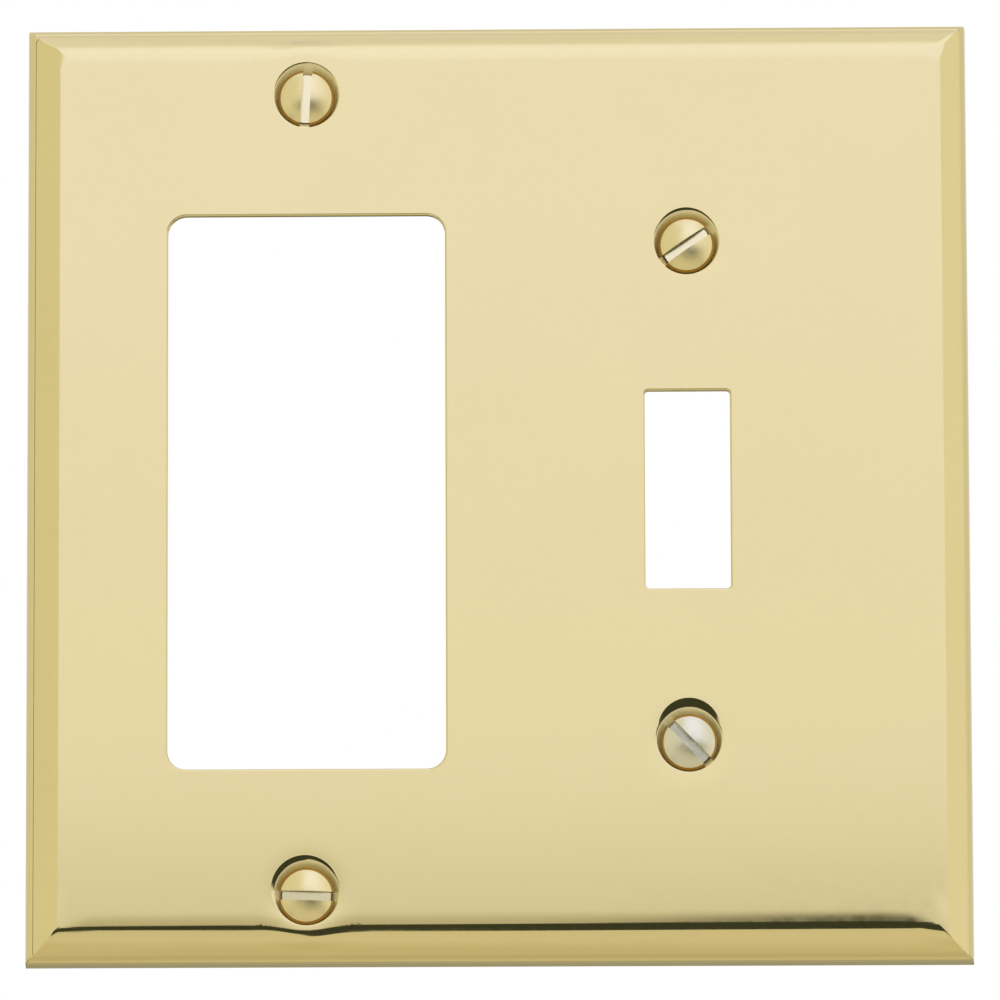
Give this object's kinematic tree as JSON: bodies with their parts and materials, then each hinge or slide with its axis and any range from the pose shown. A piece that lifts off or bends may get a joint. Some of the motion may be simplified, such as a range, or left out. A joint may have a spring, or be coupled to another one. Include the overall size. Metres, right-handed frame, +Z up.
{
  "type": "combination wall plate",
  "caption": "Formed brass wall plate for a two-gang box, with a decorator opening, a toggle opening and loose slotted oval-head screws in dimpled holes.",
  "frame": {"origin": "centre of the plate's outline, on the wall plane that the rim rests on", "axes": "+Z up, +X to the right for someone who faces the plate, +Y into the wall; the front face looks along -Y"},
  "size_m": [0.1146, 0.0139, 0.1142],
  "materials": {
    "polished_brass": "polished and lacquered",
    "screw_brass": "bright plated, fine turned marks"
  },
  "bodies": {
    "plate": {"cover_plate": "polished_brass"},
    "decorator_screw_top": {"decorator_screw_top": "screw_brass"},
    "decorator_screw_bottom": {"decorator_screw_bottom": "screw_brass"},
    "toggle_screw_top": {"toggle_screw_top": "screw_brass"},
    "toggle_screw_bottom": {"toggle_screw_bottom": "screw_brass"}
  },
  "joints": [
    {"name": "decorator_screw_top_turn", "type": "hinge", "parent": "plate", "child": "decorator_screw_top", "pos_m": [-0.02302, 0, 0.04797], "axis": [0, 1, 0], "continuous": true},
    {"name": "decorator_screw_bottom_turn", "type": "hinge", "parent": "plate", "child": "decorator_screw_bottom", "pos_m": [-0.02302, 0, -0.04887], "axis": [0, 1, 0], "continuous": true},
    {"name": "toggle_screw_top_turn", "type": "hinge", "parent": "plate", "child": "toggle_screw_top", "pos_m": [0.02302, 0, 0.02971], "axis": [0, 1, 0], "continuous": true},
    {"name": "toggle_screw_bottom_turn", "type": "hinge", "parent": "plate", "child": "toggle_screw_bottom", "pos_m": [0.02302, 0, -0.03061], "axis": [0, 1, 0], "continuous": true}
  ]
}
